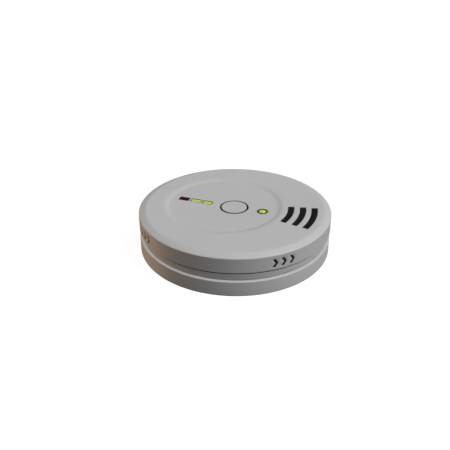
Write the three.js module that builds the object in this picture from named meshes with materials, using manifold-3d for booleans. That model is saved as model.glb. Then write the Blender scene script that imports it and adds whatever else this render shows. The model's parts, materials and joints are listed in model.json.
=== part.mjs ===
// A round battery carbon monoxide alarm: a mounting base for a wall or ceiling, and an alarm head
// that locks into it with a short turn. Millimetres. The base's back lies on z = 0, +Z points out
// of the wall through the front cover, and +X runs along the row of indicators to the sounder.
import * as THREE from "three";
import { mergeVertices } from "three/addons/utils/BufferGeometryUtils.js";
import Module from "manifold-3d";

const wasm = await Module();
wasm.setup();

// ---- Driving dimensions ----

const GAP = 0.3; // between neighbouring pieces
const BIG_ROUND = 48; // segments of the shells
const ROUND = 20; // segments of coin-sized pieces
const SMALL_ROUND = 12; // segments of screws, wires and bores
const OVERCUT = 1; // how far a cutter runs past the face it opens
const DEG = Math.PI / 180;

// Mounting base
const BASE_RADIUS = 63;
const BASE_TOP = 10.1;
const BASE_PLATE = 2;
const BASE_BORE = 60.7; // inside radius of the base's wall
const KEYHOLE_X = 32;
const SCREW_HEAD_HOLE = 4.2; // radius
const SCREW_SLOT = 1.9; // half width, for a 3.5 mm screw
const KEYHOLE_RUN = 7;

// Bayonet: ledges stand inward from the base's wall, lugs stand out from the head under them
const BAYONET_ANGLES = [90, 210, 330].map((degrees) => degrees * DEG);
const LEDGE_HALF_ANGLE = 8.5 * DEG;
const LUG_HALF_ANGLE = 6.6 * DEG;
const STOP_ANGLE = 1.5 * DEG;
const LEDGE_BOTTOM = 6.95;
const LEDGE_TOP = 8.95;
const LUG_BOTTOM = 4.6;
const LUG_RADIUS = 60.1;

// Rear housing
const HOUSING_RADIUS = 57.6; // the part that stands inside the base
const HOUSING_BACK = 2.3;
const HOUSING_FLOOR = 4.3;
const HOUSING_BORE = 55.6;
const NECK_TOP = 14.9; // the groove under the front cover starts here
const NECK_RADIUS = 61.2;
const LIP_RADIUS = 60.3; // locates the front cover

// Front cover
const COVER_BOTTOM = 16.1;
const COVER_TOP = 27.7;
const COVER_RADIUS = 62.85;
const COVER_BORE = 60.65;
const COVER_CEILING = 25.4; // underside of the cover
const SHOULDER_START = 57.9; // radius where the flat top ends

// The shallow off-centre dish in the cover: a bowl-shaped floor inside a soft wall
const DISH = { x: -8, floorRadius: 35.1, rimRadius: 39.7, floorDepth: 0.95, middleDepth: 1.15 };
const DISH_BACKING = { radius: 36, bottom: 24.2 };

// Sounder slots, three arcs about the middle of the cover
const SLOTS = [
  { inner: 34.6, halfAngle: 17.6 * DEG },
  { inner: 42.3, halfAngle: 16.7 * DEG },
  { inner: 49.8, halfAngle: 15.9 * DEG },
];
const SLOT_WIDTH = 4.1;
const GRILLE_RECESS = 0.5; // from the cover's top down to the black grille in the slots

// Turning arrows on the cover's wall: groups of three, all pointing anticlockwise
const ARROW_GROUPS = [45.75, 135.75, 225.75, 315.75].map((degrees) => degrees * DEG);
const ARROW_PITCH = 5.2 * DEG;
const ARROW = { height: 5.4, width: 3.5, stroke: 1.75, z: 20.7, depth: 0.35 };

// Test button and its switch
const BUTTON_X = -0.7;
const BUTTON_HOLE = 9.45;
const BUTTON_RADIUS = 8.3;
const BUTTON_TOP = 26.6;
const BUTTON_FLANGE = { radius: 10.4, bottom: 22.9, top: 23.9 };
const BUTTON_SKIRT_BORE = 7;
const SWITCH_SIDE = 6;
const PLUNGER_RADIUS = 1.6;

// Indicators
const WINDOWS = [
  { x: -19.6, name: "power" },
  { x: -27.85, name: "fault" },
  { x: -36.1, name: "alarm" },
];
const WINDOW = { length: 7.2, width: 4.8, recess: 0.15, gap: 0.5 };
const LENS_FLANGE = { bottom: 22.9, top: 23.9, margin: 0.6 };
const STATUS = { x: 18.6, hole: 3.7, bezel: 3.4, bezelBore: 2.7, led: 2.4, ledRise: 0.8 };

// Circuit board
const BOARD = { radius: 52, bottom: 19, top: 20.6 };
const BOARD_POSTS = [[8, 47], [8, -47], [-48.5, 0]];

// Battery bay, open at the back for two AA cells, and the cells
const BAY = { x: [-41.5, -10], halfLength: 28.5, roof: 17.4, wall: 1.5 };
const CELL = { radius: 7.25, length: 49.5, nubRadius: 2.75, nubLength: 1, z: 9.8 };
const CELLS_X = [-33.5, -18];
const CELL_SHIFT = 1.95; // towards the plus contact, since the spring is at the minus end
const CONTACT = { y: 27.8, thickness: 0.5, bottom: 4.6, top: 15 };

// Sounder
const SOUNDER = { x: 40, radius: 14.3, bore: 13, bottom: 4.6, top: 24.2 };
const SOUNDER_SEAT = { bore: 11.2, bottom: 10, top: 11.4 };

// Carbon monoxide cell
const SENSOR = { x: 8, y: -29, radius: 10 };

// Screws
const HOUSING_SCREW_CIRCLE = 48.5;
const HOUSING_SCREW_ANGLES = [60, 120, 240, 300].map((degrees) => degrees * DEG);
const PILLAR = { radius: 3.6, bottom: 12.3 };
const HOUSING_BOSS = { radius: 4.2, seat: 5.2, top: 12 };

// ---- Solids ----

// A closed geometry as a manifold solid; triangles that shrank to a line at an axis are dropped.
function solidOf(geometry) {
  const bare = new THREE.BufferGeometry();
  bare.setAttribute("position", geometry.getAttribute("position"));
  bare.setIndex(geometry.getIndex());
  const merged = mergeVertices(bare, 1e-3);
  const index = merged.getIndex().array;
  const triVerts = [];
  for (let i = 0; i < index.length; i += 3) {
    const [a, b, c] = index.slice(i, i + 3);
    if (a !== b && b !== c && c !== a) triVerts.push(a, b, c);
  }
  return new wasm.Manifold(new wasm.Mesh({
    numProp: 3,
    vertProperties: merged.getAttribute("position").array,
    triVerts: new Uint32Array(triVerts),
  }));
}

function geometryOf(solid) {
  const mesh = solid.getMesh();
  const geometry = new THREE.BufferGeometry();
  geometry.setAttribute("position", new THREE.BufferAttribute(mesh.vertProperties, 3));
  geometry.setIndex(new THREE.BufferAttribute(mesh.triVerts, 1));
  geometry.computeVertexNormals();
  return geometry;
}

// Joins the added geometries to the first one, then takes the cutters out of it.
function shaped(first, added, cutters) {
  let solid = solidOf(first);
  for (const geometry of added) solid = solid.add(solidOf(geometry));
  for (const geometry of cutters) solid = solid.subtract(solidOf(geometry));
  return geometryOf(solid);
}

// A profile of [radius, z] points turned about Z, the section's material on the left of its path.
function turned(profile, segments) {
  const points = profile.map(([radius, z]) => new THREE.Vector2(radius, z));
  return new THREE.LatheGeometry(points, segments).rotateX(Math.PI / 2);
}

// The rectangle of a ring's section, from the inner to the outer radius.
function ringSection(inner, outer, bottom, top) {
  return [[inner, bottom], [outer, bottom], [outer, top], [inner, top], [inner, bottom]];
}

function ring(inner, outer, bottom, top, segments) {
  return turned(ringSection(inner, outer, bottom, top), segments);
}

function disc(radius, bottom, top, segments) {
  return turned([[0, bottom], [radius, bottom], [radius, top], [0, top]], segments);
}

function block(width, depth, bottom, top) {
  return new THREE.BoxGeometry(width, depth, top - bottom).translate(0, 0, (bottom + top) / 2);
}

// A flat shape raised between two heights, each of its arcs in an even number of steps.
function raised(shape, bottom, top, arcSteps) {
  const options = { depth: top - bottom, bevelEnabled: false, curveSegments: arcSteps / 2 };
  return new THREE.ExtrudeGeometry(shape, options).translate(0, 0, bottom);
}

// The part of a ring between two angles.
function arcShape(inner, outer, from, to) {
  const shape = new THREE.Shape();
  shape.absarc(0, 0, outer, from, to, false);
  shape.absarc(0, 0, inner, to, from, true);
  shape.closePath();
  return shape;
}

// A slot with round ends, running along +Y from the origin.
function slotShape(halfWidth, run) {
  const shape = new THREE.Shape();
  shape.absarc(0, run, halfWidth, 0, Math.PI, false);
  shape.absarc(0, 0, halfWidth, Math.PI, 2 * Math.PI, false);
  shape.closePath();
  return shape;
}

// A round wire along a curve.
function wire(curve, radius, sides, steps) {
  const section = new THREE.Shape();
  section.absarc(0, 0, radius, 0, 2 * Math.PI, false);
  const options = { steps, curveSegments: sides / 2, extrudePath: curve, bevelEnabled: false };
  return new THREE.ExtrudeGeometry(section, options);
}

class Helix extends THREE.Curve {
  constructor(radius, height, turns) {
    super();
    Object.assign(this, { radius, height, turns });
  }

  getPoint(t, target = new THREE.Vector3()) {
    const angle = 2 * Math.PI * this.turns * t;
    return target.set(this.radius * Math.cos(angle), this.radius * Math.sin(angle), this.height * t);
  }
}

// A compression spring from z = 0 up to its full height.
function coilSpring(radius, wireRadius, height, turns) {
  const curve = new Helix(radius, height - 2 * wireRadius, turns);
  return wire(curve, wireRadius, 6, turns * 10).translate(0, 0, wireRadius);
}

function around(radius, angle) {
  return [radius * Math.cos(angle), radius * Math.sin(angle)];
}

// ---- Materials ----

function material(color, roughness, metalness = 0) {
  return new THREE.MeshStandardMaterial({ color, roughness, metalness });
}

const shellPlastic = material(0xd6d7d6, 0.5);
const basePlastic = material(0xd0d1d0, 0.55);
const blackPlastic = material(0x1b1b1c, 0.6);
const greenLens = material(0xb6cc46, 0.3);
const redLens = material(0x4a0c14, 0.3);
const oliveBezel = material(0x565e2a, 0.45);
const boardLaminate = material(0x1f5a34, 0.5);
const blackEpoxy = material(0x161618, 0.45);
const steel = material(0xb4b6b8, 0.35, 1);
const springSteel = material(0xa6a8aa, 0.3, 1);
const brass = material(0xc2a04e, 0.35, 1);
const cellJacket = material(0x2f5f8f, 0.4, 0.3);
const foam = material(0x2c2c2e, 0.95);
const redSleeve = material(0xa81f1f, 0.5);
const ledPackage = material(0xe8e8de, 0.4);

const alarm = new THREE.Group();

function place(name, geometry, look, x = 0, y = 0, z = 0) {
  const mesh = new THREE.Mesh(geometry, look);
  mesh.name = name;
  mesh.position.set(x, y, z);
  alarm.add(mesh);
  return mesh;
}

// ---- Mounting base ----

function baseShell() {
  return turned([
    [0, 0], [BASE_RADIUS - 0.4, 0], [BASE_RADIUS, 0.5], [BASE_RADIUS - 0.15, 9.5],
    [BASE_RADIUS - 0.35, 9.95], [BASE_RADIUS - 0.7, BASE_TOP],
    [BASE_BORE, BASE_TOP], [BASE_BORE, BASE_PLATE], [0, BASE_PLATE],
  ], BIG_ROUND);
}

// One ledge, with the stop at its clockwise end that the lug rests against.
function bayonetLedge(angle) {
  const start = angle - LEDGE_HALF_ANGLE;
  const reach = [HOUSING_RADIUS + 0.35, BASE_BORE + 0.5];
  const ledge = arcShape(...reach, start, angle + LEDGE_HALF_ANGLE);
  const stop = arcShape(...reach, start, start + STOP_ANGLE);
  return [
    raised(ledge, LEDGE_BOTTOM, LEDGE_TOP, 4),
    raised(stop, LUG_BOTTOM, LEDGE_BOTTOM + 0.2, 2),
  ];
}

// A keyhole for a wall screw: the head goes in at the round hole and slides along the slot.
function keyhole(x) {
  return [
    disc(SCREW_HEAD_HOLE, -OVERCUT, BASE_PLATE + OVERCUT, ROUND).translate(x, 0, 0),
    raised(slotShape(SCREW_SLOT, KEYHOLE_RUN), -OVERCUT, BASE_PLATE + OVERCUT, 8).translate(x, 0, 0),
  ];
}

// A curved slot, so that the base can be turned a little on its screws.
function curvedSlot(angle) {
  const halfAngle = 12 * DEG;
  const shape = arcShape(
    KEYHOLE_X - SCREW_SLOT, KEYHOLE_X + SCREW_SLOT, angle - halfAngle, angle + halfAngle,
  );
  return raised(shape, -OVERCUT, BASE_PLATE + OVERCUT, 8);
}

function mountingBase() {
  const holes = [
    ...keyhole(KEYHOLE_X), ...keyhole(-KEYHOLE_X),
    curvedSlot(Math.PI / 2), curvedSlot(-Math.PI / 2),
  ];
  return shaped(baseShell(), BAYONET_ANGLES.flatMap(bayonetLedge), holes);
}

place("mounting_base", mountingBase(), basePlastic);

// ---- Rear housing ----

function housingShell() {
  const shelf = LEDGE_TOP + GAP; // the foot of the neck, which stands inside the base's rim
  const foot = BASE_BORE - GAP;
  return turned([
    [0, HOUSING_BACK], [HOUSING_RADIUS - 0.4, HOUSING_BACK], [HOUSING_RADIUS, HOUSING_BACK + 0.4],
    [HOUSING_RADIUS, shelf], [foot, shelf], [foot, BASE_TOP + GAP],
    [NECK_RADIUS - 0.2, BASE_TOP + 2 * GAP], [NECK_RADIUS, NECK_TOP],
    [LIP_RADIUS, NECK_TOP], [LIP_RADIUS, 19], [LIP_RADIUS - 1.7, 19], [LIP_RADIUS - 1.7, 12.4],
    [HOUSING_BORE, 12.4], [HOUSING_BORE, HOUSING_FLOOR], [0, HOUSING_FLOOR],
  ], BIG_ROUND);
}

function bayonetLug(angle) {
  const shape = arcShape(
    HOUSING_RADIUS - 1, LUG_RADIUS, angle - LUG_HALF_ANGLE, angle + LUG_HALF_ANGLE,
  );
  return raised(shape, LUG_BOTTOM, LEDGE_BOTTOM - GAP, 4);
}

// The bay stands on the housing's floor; its walls are `grow` outside its inner faces.
function bayBlock(grow, bottom, top) {
  const [left, right] = BAY.x;
  const width = right - left + 2 * grow;
  const box = block(width, 2 * (BAY.halfLength + grow), bottom, top);
  return box.translate((left + right) / 2, 0, 0);
}

function rearHousing() {
  const added = BAYONET_ANGLES.map(bayonetLug);
  const cutters = [bayBlock(0, HOUSING_BACK - OVERCUT, BAY.roof)];
  added.push(bayBlock(BAY.wall, HOUSING_BACK + 0.5, BAY.roof + 1.2));
  for (const angle of HOUSING_SCREW_ANGLES) {
    const [x, y] = around(HOUSING_SCREW_CIRCLE, angle);
    const bottom = HOUSING_BACK + 0.5;
    added.push(disc(HOUSING_BOSS.radius, bottom, HOUSING_BOSS.top, ROUND).translate(x, y, 0));
    const recess = disc(3.1, HOUSING_BACK - OVERCUT, HOUSING_BOSS.seat, SMALL_ROUND);
    const bore = disc(1.75, HOUSING_BACK, HOUSING_BOSS.top + OVERCUT, SMALL_ROUND);
    cutters.push(recess.translate(x, y, 0), bore.translate(x, y, 0));
  }
  for (const [x, y] of BOARD_POSTS) {
    const top = BOARD.bottom - GAP;
    added.push(disc(3, HOUSING_FLOOR - 0.5, top, SMALL_ROUND).translate(x, y, 0));
    cutters.push(disc(1.4, top - 6, top + OVERCUT, SMALL_ROUND).translate(x, y, 0));
  }
  return shaped(housingShell(), added, cutters);
}

place("rear_housing", rearHousing(), shellPlastic);

// ---- Front cover ----

function coverShell() {
  return turned([
    [COVER_BORE, COVER_BOTTOM], [62.5, COVER_BOTTOM], [COVER_RADIUS, 16.5], [COVER_RADIUS, 25.7],
    [62.75, 25.97], [62.5, 26.15], [59.1, 27.42], [58.5, 27.63], [SHOULDER_START, COVER_TOP],
    [0, COVER_TOP], [0, COVER_CEILING], [SHOULDER_START, COVER_CEILING], [COVER_BORE, 23.8],
    [COVER_BORE, COVER_BOTTOM],
  ], BIG_ROUND);
}

// Depth of the dish's bowl-shaped floor below the cover's top, at a distance from its middle.
function bowlDepth(distance) {
  const share = distance / DISH.floorRadius;
  return DISH.middleDepth - (DISH.middleDepth - DISH.floorDepth) * share ** 2;
}

// Height of the dish's floor at a point on the X axis.
function dishZ(x) {
  return COVER_TOP - bowlDepth(Math.abs(x - DISH.x));
}

function dishCutter() {
  const bowl = [0, 0.35, 0.7, 1].map((share) => {
    const radius = share * DISH.floorRadius;
    return [radius, COVER_TOP - bowlDepth(radius)];
  });
  const wall = [0.35, 0.7, 1].map((share) => {
    const radius = THREE.MathUtils.lerp(DISH.floorRadius, DISH.rimRadius, share);
    const climb = THREE.MathUtils.smoothstep(share, 0, 1);
    return [radius, COVER_TOP - DISH.floorDepth * (1 - climb)];
  });
  const above = COVER_TOP + OVERCUT;
  const profile = [...bowl, ...wall, [DISH.rimRadius, above], [0, above]];
  return turned(profile, BIG_ROUND).translate(DISH.x, 0, 0);
}

function sounderSlot({ inner, halfAngle }) {
  const shape = arcShape(inner, inner + SLOT_WIDTH, -halfAngle, halfAngle);
  return raised(shape, COVER_CEILING - OVERCUT, COVER_TOP + OVERCUT, 8);
}

// An arrow head that points along +X, centred on the origin.
function arrowShape() {
  const halfHeight = ARROW.height / 2;
  const tip = ARROW.width / 2;
  const shape = new THREE.Shape();
  shape.moveTo(-tip, halfHeight);
  shape.lineTo(-tip, halfHeight - 0.5);
  shape.lineTo(tip - ARROW.stroke, 0);
  shape.lineTo(-tip, 0.5 - halfHeight);
  shape.lineTo(-tip, -halfHeight);
  shape.lineTo(ARROW.stroke - tip, -halfHeight);
  shape.lineTo(tip, 0);
  shape.lineTo(ARROW.stroke - tip, halfHeight);
  shape.closePath();
  return shape;
}

// Stands the arrow up on the cover's wall: its X runs anticlockwise and its Y runs up.
function arrowCutter(angle) {
  const depth = 3;
  const cutter = raised(arrowShape(), 0, depth, 2).rotateX(Math.PI / 2).rotateZ(Math.PI / 2);
  cutter.translate(COVER_RADIUS - ARROW.depth, 0, ARROW.z);
  return cutter.rotateZ(angle);
}

function windowCutter(x) {
  const cutter = block(WINDOW.length, WINDOW.width, DISH_BACKING.bottom - OVERCUT, COVER_TOP);
  return cutter.translate(x, 0, 0);
}

function frontCover() {
  const top = COVER_TOP + OVERCUT;
  const bottom = DISH_BACKING.bottom - OVERCUT;
  const backing = disc(DISH_BACKING.radius, DISH_BACKING.bottom, COVER_CEILING + 0.2, BIG_ROUND);
  const added = [backing.translate(DISH.x, 0, 0)];
  const cutters = [
    dishCutter(),
    disc(BUTTON_HOLE, bottom, top, 32).translate(BUTTON_X, 0, 0),
    disc(STATUS.hole, bottom, top, ROUND).translate(STATUS.x, 0, 0),
    ...SLOTS.map(sounderSlot),
    ...WINDOWS.map(({ x }) => windowCutter(x)),
  ];
  for (const angle of HOUSING_SCREW_ANGLES) {
    const [x, y] = around(HOUSING_SCREW_CIRCLE, angle);
    const pillar = disc(PILLAR.radius, PILLAR.bottom, COVER_CEILING + 0.2, SMALL_ROUND);
    added.push(pillar.translate(x, y, 0));
    cutters.push(disc(1.75, PILLAR.bottom - OVERCUT, 21, SMALL_ROUND).translate(x, y, 0));
  }
  for (const group of ARROW_GROUPS) {
    for (const step of [-1, 0, 1]) cutters.push(arrowCutter(group + step * ARROW_PITCH));
  }
  return shaped(coverShell(), added, cutters);
}

place("front_cover", frontCover(), shellPlastic);

// ---- Test button, its spring and its switch ----

function testButton() {
  const { radius, bottom, top } = BUTTON_FLANGE;
  const face = BUTTON_TOP - 1.6;
  return turned([
    [0, top], [1.8, top], [1.8, face], [BUTTON_SKIRT_BORE, face], [BUTTON_SKIRT_BORE, bottom],
    [radius, bottom], [radius, top], [BUTTON_RADIUS, top], [BUTTON_RADIUS, BUTTON_TOP - 0.3],
    [BUTTON_RADIUS - 0.3, BUTTON_TOP], [0, BUTTON_TOP - 0.15],
  ], 32);
}

const SWITCH_BOTTOM = BOARD.top + GAP;
const SWITCH_TOP = 23;
const SPRING_HEIGHT = BUTTON_TOP - 1.6 - GAP - SWITCH_BOTTOM;

function switchBody() {
  const body = block(SWITCH_SIDE, SWITCH_SIDE, SWITCH_BOTTOM, SWITCH_TOP);
  const well = disc(PLUNGER_RADIUS + GAP, SWITCH_BOTTOM + 0.2, SWITCH_TOP + OVERCUT, SMALL_ROUND);
  return shaped(body, [], [well]);
}

function switchPlunger() {
  return disc(PLUNGER_RADIUS, 22, BUTTON_FLANGE.top - GAP, SMALL_ROUND);
}

const buttonSpring = coilSpring(5.6, GAP, SPRING_HEIGHT, 3);

place("test_button", testButton(), shellPlastic, BUTTON_X);
place("button_spring", buttonSpring, springSteel, BUTTON_X, 0, SWITCH_BOTTOM);
place("switch_body", switchBody(), blackPlastic, BUTTON_X);
place("switch_plunger", switchPlunger(), blackPlastic, BUTTON_X);

// ---- Indicators ----

// A lens bar in its window, with a flange that holds it behind the cover.
function indicatorLens(x) {
  const { bottom, top, margin } = LENS_FLANGE;
  const face = dishZ(x) - WINDOW.recess;
  const bar = block(WINDOW.length - 2 * WINDOW.gap, WINDOW.width - 2 * WINDOW.gap, bottom, face);
  const flange = block(WINDOW.length + margin, WINDOW.width + 2 * margin, bottom, top);
  return shaped(bar, [flange], []).translate(x, 0, 0);
}

for (const { x, name } of WINDOWS) {
  place("lens_" + name, indicatorLens(x), name === "alarm" ? redLens : greenLens);
  place("led_" + name, block(3.5, 2.8, SWITCH_BOTTOM, SWITCH_BOTTOM + 1), ledPackage, x);
}

function statusBezel() {
  const { bottom, top, margin } = LENS_FLANGE;
  const face = dishZ(STATUS.x) + 0.15;
  return turned([
    [STATUS.bezelBore, bottom], [STATUS.hole + margin, bottom], [STATUS.hole + margin, top],
    [STATUS.bezel, top], [STATUS.bezel, face], [STATUS.bezelBore, face], [STATUS.bezelBore, bottom],
  ], ROUND);
}

function statusLed() {
  const shoulder = dishZ(STATUS.x) - 0.3;
  const dome = [80, 60, 40, 20].map((degrees) => {
    const [radius, rise] = [Math.sin(degrees * DEG), Math.cos(degrees * DEG)];
    return [STATUS.led * radius, shoulder + STATUS.ledRise * rise];
  });
  return turned([
    [0, SWITCH_BOTTOM], [STATUS.led + 0.2, SWITCH_BOTTOM], [STATUS.led + 0.2, SWITCH_BOTTOM + 1],
    [STATUS.led, SWITCH_BOTTOM + 1], ...dome, [0, shoulder + STATUS.ledRise],
  ], ROUND);
}

place("status_bezel", statusBezel(), oliveBezel, STATUS.x);
place("status_led", statusLed(), greenLens, STATUS.x);

// ---- Circuit board and what it carries ----

function circuitBoard() {
  const [below, above] = [BOARD.bottom - OVERCUT, BOARD.top + OVERCUT];
  const cutters = [disc(SOUNDER.radius + 0.9, below, above, 32).translate(SOUNDER.x, 0, 0)];
  for (const angle of HOUSING_SCREW_ANGLES) {
    const notch = disc(PILLAR.radius + 0.7, below, above, SMALL_ROUND);
    cutters.push(notch.translate(...around(HOUSING_SCREW_CIRCLE, angle), 0));
  }
  for (const [x, y] of BOARD_POSTS) {
    cutters.push(disc(1.4, below, above, SMALL_ROUND).translate(x, y, 0));
  }
  // clears the sounder's side of the ring, so that no thin sliver closes the board
  cutters.push(block(20, 2 * SOUNDER.radius, below, above).translate(SOUNDER.x + 12, 0, 0));
  return shaped(disc(BOARD.radius, BOARD.bottom, BOARD.top, BIG_ROUND), [], cutters);
}

function hanging(radius, length, segments) {
  return disc(radius, BOARD.bottom - GAP - length, BOARD.bottom - GAP, segments);
}

function drumCoil() {
  const top = BOARD.bottom - GAP;
  return turned([
    [0, top - 8], [4.5, top - 8], [4.5, top - 6.6], [3.6, top - 6.6], [3.6, top - 1.4],
    [4.5, top - 1.4], [4.5, top], [0, top],
  ], ROUND);
}

// Metal can with the crimped shoulder of its gas opening towards the back.
function sensorCan() {
  const top = BOARD.bottom - GAP;
  return turned([
    [0, 7.4], [3, 7.4], [3, 6.6], [SENSOR.radius - 1, 6.6], [SENSOR.radius, 7.6],
    [SENSOR.radius, top], [0, top],
  ], 24);
}

place("circuit_board", circuitBoard(), boardLaminate);
place("microcontroller", block(7, 7, SWITCH_BOTTOM, SWITCH_BOTTOM + 1.2), blackEpoxy, -12, 22);
place("voltage_regulator", block(6.5, 3.6, SWITCH_BOTTOM, SWITCH_BOTTOM + 1.6), blackEpoxy, 14, -17);
place("main_capacitor", hanging(4, 11.2, ROUND), cellJacket, 10, 32);
place("filter_capacitor", hanging(3.15, 7, ROUND), cellJacket, 20, 27);
place("step_up_coil", drumCoil(), blackEpoxy, 2, 14);
place("co_sensor", sensorCan(), steel, SENSOR.x, SENSOR.y);
place("sensor_gasket", ring(6, SENSOR.radius, 4.6, 6.3, 24), foam, SENSOR.x, SENSOR.y);

// ---- Sounder ----

// A tube under the slots with a seat for the disc, and a notch for the leads at its foot.
function sounderTube() {
  const { radius, bore, bottom, top } = SOUNDER;
  const tube = turned([
    [bore, bottom], [radius, bottom], [radius, top], [bore, top], [bore, SOUNDER_SEAT.top],
    [SOUNDER_SEAT.bore, SOUNDER_SEAT.top], [SOUNDER_SEAT.bore, SOUNDER_SEAT.bottom],
    [bore, SOUNDER_SEAT.bottom], [bore, bottom],
  ], 32);
  const notch = block(6, 9, bottom - OVERCUT, SOUNDER_SEAT.bottom - 0.4);
  return shaped(tube, [], [notch.translate(-bore, 0, 0)]);
}

// From under the disc, out through the notch and up to the board.
function sounderLead(side) {
  const curve = new THREE.CatmullRomCurve3([
    new THREE.Vector3(34, side * 2, 11.1),
    new THREE.Vector3(33.4, side * 2, 8.6),
    new THREE.Vector3(29, side * 2.4, 7.3),
    new THREE.Vector3(23.5, side * 3, 7.6),
    new THREE.Vector3(20.4, side * 3.4, 11),
    new THREE.Vector3(20, side * 3.5, BOARD.bottom - GAP),
  ]);
  return wire(curve, 0.6, 6, 14);
}

// A plate behind the cover with a raised pad in each slot.
function sounderGrille() {
  const halfAngle = 22 * DEG;
  const [bottom, top] = [24.5, COVER_CEILING - GAP];
  const plate = raised(arcShape(33.2, 56.5, -halfAngle, halfAngle), bottom, top, 16);
  const pads = SLOTS.map((slot) => {
    const reach = slot.halfAngle - 0.5 * DEG;
    const shape = arcShape(slot.inner + GAP, slot.inner + SLOT_WIDTH - GAP, -reach, reach);
    return raised(shape, bottom + 0.1, COVER_TOP - GRILLE_RECESS, 8);
  });
  return shaped(plate, pads, []);
}

const DISC_BOTTOM = SOUNDER_SEAT.top + GAP;

place("sounder_tube", sounderTube(), blackPlastic, SOUNDER.x);
place("piezo_disc", disc(12.6, DISC_BOTTOM, DISC_BOTTOM + 0.5, 28), brass, SOUNDER.x);
place("piezo_ceramic", disc(8, DISC_BOTTOM + 0.8, DISC_BOTTOM + 1.1, ROUND), ledPackage, SOUNDER.x);
place("sounder_grille", sounderGrille(), blackPlastic);
place("sounder_lead_red", sounderLead(1), redSleeve);
place("sounder_lead_black", sounderLead(-1), foam);

// ---- Batteries and contacts ----

// One cell along Y, its plus end towards `side`.
function cell(side) {
  const half = CELL.length / 2;
  const shape = turned([
    [0, -half], [CELL.radius - 0.4, -half], [CELL.radius, 0.4 - half], [CELL.radius, half - 0.6],
    [CELL.radius - 0.6, half], [CELL.nubRadius, half], [CELL.nubRadius, half + CELL.nubLength],
    [0, half + CELL.nubLength],
  ], ROUND);
  return shape.translate(0, 0, CELL_SHIFT - CELL.nubLength / 2).rotateX(-side * Math.PI / 2);
}

// The spring that presses on a cell's minus end, standing on the contact at -`side`.
function cellSpring(side) {
  const foot = CONTACT.y - CONTACT.thickness / 2 - GAP;
  const minusEnd = (CELL.length + CELL.nubLength) / 2 - CELL_SHIFT;
  const spring = coilSpring(3, 0.35, foot - GAP - minusEnd, 3);
  return spring.rotateX(-side * Math.PI / 2).translate(0, -side * foot, 0);
}

function contactPlate(width) {
  return block(width, CONTACT.thickness, CONTACT.bottom, CONTACT.top);
}

CELLS_X.forEach((x, i) => {
  const side = i === 0 ? 1 : -1;
  place("battery_" + (i + 1), cell(side), cellJacket, x, 0, CELL.z);
  place("battery_spring_" + (i + 1), cellSpring(side), springSteel, x, 0, CELL.z);
  place("battery_contact_" + (i + 1), contactPlate(10), steel, x, -CONTACT.y);
});
place("battery_link", contactPlate(25.5), steel, (CELLS_X[0] + CELLS_X[1]) / 2, CONTACT.y);

// ---- Screws ----

// A pan-head screw driven along +Z, its head's bearing face at z = 0.
function screw(headRadius, headHeight, shankRadius, length) {
  const recess = { radius: headRadius * 0.4, depth: headHeight * 0.5 };
  return turned([
    [0, recess.depth - headHeight], [recess.radius, recess.depth - headHeight],
    [recess.radius, -headHeight], [headRadius * 0.8, -headHeight], [headRadius, -headHeight * 0.5],
    [headRadius, 0], [shankRadius, 0], [shankRadius, length - shankRadius], [0, length],
  ], SMALL_ROUND);
}

HOUSING_SCREW_ANGLES.forEach((angle, i) => {
  const [x, y] = around(HOUSING_SCREW_CIRCLE, angle);
  const seat = HOUSING_BOSS.seat - GAP;
  place("housing_screw_" + (i + 1), screw(2.7, 2, 1.4, 15), steel, x, y, seat);
});
BOARD_POSTS.forEach(([x, y], i) => {
  const driven = screw(2.3, 1.5, 1.1, 6.5).rotateX(Math.PI);
  place("board_screw_" + (i + 1), driven, steel, x, y, BOARD.top + GAP);
});

export default alarm;
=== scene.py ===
"""The looks of a round carbon monoxide alarm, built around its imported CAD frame.

Sizes are in millimetres in the row frame, and every mesh is scaled to metres as it is made. Only the
floor and the backdrop, which aren't part of the alarm, are in metres from the start.
"""

import json
from math import asin, cos, hypot, pi, radians, sin, tan, tau

import bmesh
import bpy
import numpy as np
from mathutils import Matrix, Vector
from mathutils.geometry import delaunay_2d_cdt
from mathutils.kdtree import KDTree


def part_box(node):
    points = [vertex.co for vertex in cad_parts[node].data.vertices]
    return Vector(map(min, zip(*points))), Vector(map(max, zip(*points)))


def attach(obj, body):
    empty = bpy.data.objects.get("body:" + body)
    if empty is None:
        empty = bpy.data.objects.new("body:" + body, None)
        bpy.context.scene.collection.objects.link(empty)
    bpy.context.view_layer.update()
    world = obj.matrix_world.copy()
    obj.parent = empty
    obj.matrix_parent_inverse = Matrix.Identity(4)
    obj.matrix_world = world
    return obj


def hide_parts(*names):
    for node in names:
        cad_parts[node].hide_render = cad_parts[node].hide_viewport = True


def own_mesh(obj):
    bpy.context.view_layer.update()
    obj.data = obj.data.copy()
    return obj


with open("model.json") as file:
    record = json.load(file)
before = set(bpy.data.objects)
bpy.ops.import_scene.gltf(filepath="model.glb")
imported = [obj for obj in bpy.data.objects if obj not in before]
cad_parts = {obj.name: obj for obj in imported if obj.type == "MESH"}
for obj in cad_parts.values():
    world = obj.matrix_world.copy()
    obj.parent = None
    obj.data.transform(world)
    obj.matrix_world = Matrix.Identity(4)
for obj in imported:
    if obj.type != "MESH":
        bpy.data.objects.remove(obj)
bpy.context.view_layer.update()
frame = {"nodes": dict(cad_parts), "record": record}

MM = 0.001
ROUND = 288  # segments of the shells; a multiple of four, because the cover's wall is made in quarters
COIN = 96  # segments of the button, the status light and the dish's backing
SMALL = 48  # segments of pillars, bosses and small holes

# ---- Sizes, from the frame ----


def box_mm(node):
    low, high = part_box(node)
    return low / MM, high / MM


def middle(node):
    low, high = box_mm(node)
    return (low + high) / 2


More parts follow.
